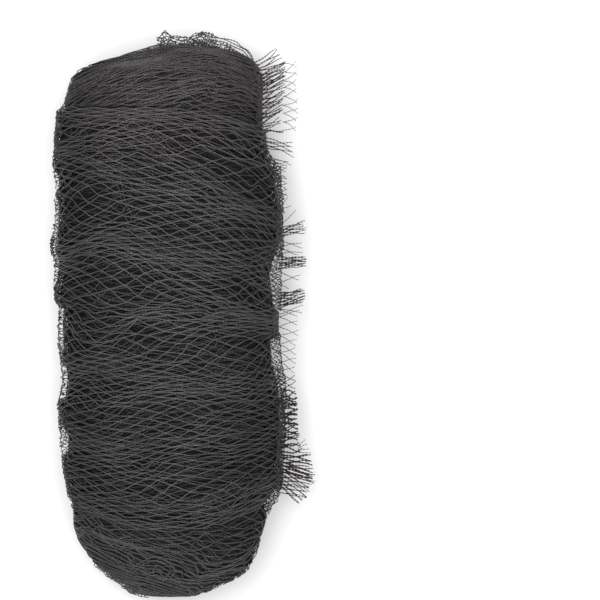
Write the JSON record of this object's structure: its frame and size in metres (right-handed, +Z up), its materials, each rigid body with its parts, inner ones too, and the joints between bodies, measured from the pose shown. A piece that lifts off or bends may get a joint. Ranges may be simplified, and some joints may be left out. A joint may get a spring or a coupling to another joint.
{
  "type": "bird netting",
  "caption": "Knitted diamond-mesh bird netting wound into a soft flattened roll, lying on its back, with its cut edge and a loose corner of selvedge standing out",
  "frame": {"origin": "middle of the box under the roll, on the surface that it rests on", "axes": "+Y along the roll to its far end, where the loose corner stands out; +X to the side with the cut edge; +Z up, away from the resting face"},
  "size_m": [0.2636, 0.5674, 0.124],
  "materials": {
    "net_yarn": "knitted polyethylene monofilament, charcoal grey, with a soft sheen"
  },
  "bodies": {
    "root": {"wound_net": "net_yarn", "cut_edge": "net_yarn", "loose_corner": "net_yarn"}
  },
  "joints": []
}
